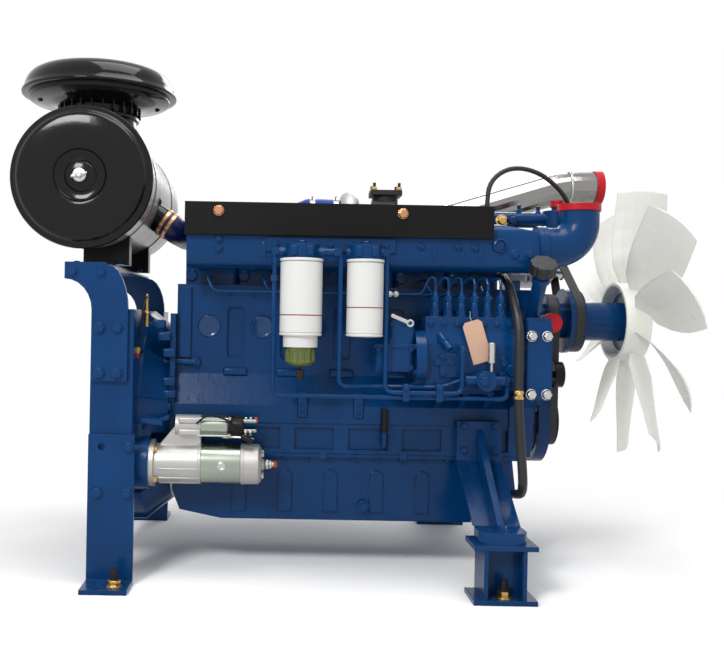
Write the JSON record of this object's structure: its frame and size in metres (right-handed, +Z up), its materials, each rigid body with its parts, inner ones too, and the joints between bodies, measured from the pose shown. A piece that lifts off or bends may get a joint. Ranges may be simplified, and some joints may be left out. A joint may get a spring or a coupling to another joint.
{
  "type": "diesel engine",
  "caption": "In-line diesel engine on shipping feet, with intake, exhaust, fuel, starting and cooling gear, belts and a fan.",
  "frame": {"origin": "where the crank axis meets the open rear face of the flywheel housing", "axes": "+X along the crank axis to the fan, +Z up, -Y towards the fuel pump side"},
  "size_m": [1.8644, 1.012, 1.412],
  "materials": {
    "blue_paint": "gloss enamel over a rough casting",
    "black_paint": "gloss black",
    "black_panel": "satin black",
    "white_paint": "gloss white",
    "grey_paint": "semi-gloss pale grey",
    "hot_iron": "heat-proof matt black",
    "cast_alloy": "sand cast",
    "zinc_steel": "zinc plated",
    "bright_steel": "polished",
    "polished_pipe": "polished stainless",
    "machined_iron": "machined",
    "hose_rubber": "matt",
    "blue_hose": "silicone rubber with clamps",
    "belt_rubber": "matt",
    "black_rubber": "moulded grip",
    "red_plastic": "moulded shipping caps",
    "ivory_plastic": "moulded nylon",
    "bowl_plastic": "clear tinted",
    "dark_plastic": "moulded"
  },
  "bodies": {
    "engine": {"cylinder_block": "blue_paint", "lower_crankcase": "blue_paint", "oil_pan": "blue_paint", "cylinder_heads": "blue_paint", "rocker_covers": "blue_paint", "water_rail": "blue_paint", "flywheel_housing": "blue_paint", "timing_case": "blue_paint", "front_support_plate": "blue_paint", "intake_manifold": "blue_paint", "intake_elbow": "blue_paint", "shipping_caps": "red_plastic", "cover_panel": "black_panel", "exhaust_manifold": "hot_iron", "turbo_turbine": "hot_iron", "turbo_compressor": "cast_alloy", "charge_air_pipe": "polished_pipe", "rubber_hoses": "hose_rubber", "injection_pump": "blue_paint", "pump_governor": "blue_paint", "delivery_valves": "blue_paint", "injection_lines": "blue_paint", "feed_pump": "blue_paint", "fuel_filter_head": "blue_paint", "fuel_filters": "white_paint", "filter_bowl": "bowl_plastic", "fuel_lines": "blue_paint", "starter_castings": "cast_alloy", "starter_motor": "zinc_steel", "air_filter_body": "grey_paint", "air_filter_cover": "black_paint", "rain_cap": "black_paint", "air_hose": "blue_hose", "filter_stand": "blue_paint", "filter_saddles": "black_paint", "rear_legs": "blue_paint", "front_feet": "blue_paint", "anchor_bolts": "machined_iron", "water_pump": "blue_paint", "accessory_brackets": "blue_paint", "alternator": "cast_alloy", "oil_filler_neck": "blue_paint", "drive_belts": "belt_rubber", "oil_cooler": "blue_paint", "oil_filters": "white_paint"},
    "crank": {"crankshaft": "machined_iron", "crank_damper": "blue_paint", "crank_pulley": "black_paint", "flywheel": "machined_iron", "ring_gear": "machined_iron"},
    "fan_shaft": {"fan_hub": "blue_paint", "fan": "ivory_plastic"},
    "alternator_rotor": {"alternator_pulley": "bright_steel"},
    "idler": {"idler_pulley": "bright_steel"},
    "filler_cap": {"oil_filler_cap": "dark_plastic"},
    "cover_nut": {"wing_nut": "bright_steel"},
    "dipstick": {"dipstick": "black_rubber"},
    "primer": {"primer_handle": "bright_steel"},
    "speed_lever": {"control_lever": "bright_steel"},
    "water_drain": {"drain_valve": "dark_plastic"}
  },
  "joints": [
    {"name": "crank_spin", "type": "hinge", "parent": "engine", "child": "crank", "pos_m": [0, 0, 0], "axis": [1, 0, 0], "continuous": true},
    {"name": "fan_spin", "type": "hinge", "parent": "engine", "child": "fan_shaft", "pos_m": [0, 0, 0.3], "axis": [1, 0, 0], "continuous": true},
    {"name": "alternator_spin", "type": "hinge", "parent": "engine", "child": "alternator_rotor", "pos_m": [0, 0.15, 0.47], "axis": [1, 0, 0], "continuous": true},
    {"name": "idler_spin", "type": "hinge", "parent": "engine", "child": "idler", "pos_m": [0, -0.11498, 0.143], "axis": [1, 0, 0], "continuous": true},
    {"name": "filler_cap_turn", "type": "hinge", "parent": "engine", "child": "filler_cap", "pos_m": [1.18, -0.37227, 0.42379], "axis": [0, -0.6018, 0.7986], "range_deg": [0, 90]},
    {"name": "cover_nut_turn", "type": "hinge", "parent": "engine", "child": "cover_nut", "pos_m": [-0.028, -0.42, 0.65], "axis": [0, -1, 0], "continuous": true},
    {"name": "dipstick_pull", "type": "slide", "parent": "engine", "child": "dipstick", "axis": [0, 0, 1], "range_m": [0, 0.025]},
    {"name": "primer_push", "type": "slide", "parent": "engine", "child": "primer", "axis": [0, 0, -1], "range_m": [0, 0.018], "stiffness_N_per_m": 150},
    {"name": "speed_lever_swing", "type": "hinge", "parent": "engine", "child": "speed_lever", "pos_m": [0.836, -0.37, 0.284], "axis": [0, 1, 0], "range_deg": [0, 40]},
    {"name": "water_drain_turn", "type": "hinge", "parent": "engine", "child": "water_drain", "pos_m": [0.548, -0.395, 0.15], "axis": [0, 0, 1], "range_deg": [0, 180]}
  ],
  "couplings": [
    {"joint": "fan_spin", "follows": "crank_spin", "ratio": 0.9336},
    {"joint": "alternator_spin", "follows": "crank_spin", "ratio": 2.4034},
    {"joint": "idler_spin", "follows": "crank_spin", "ratio": -2.0351}
  ]
}
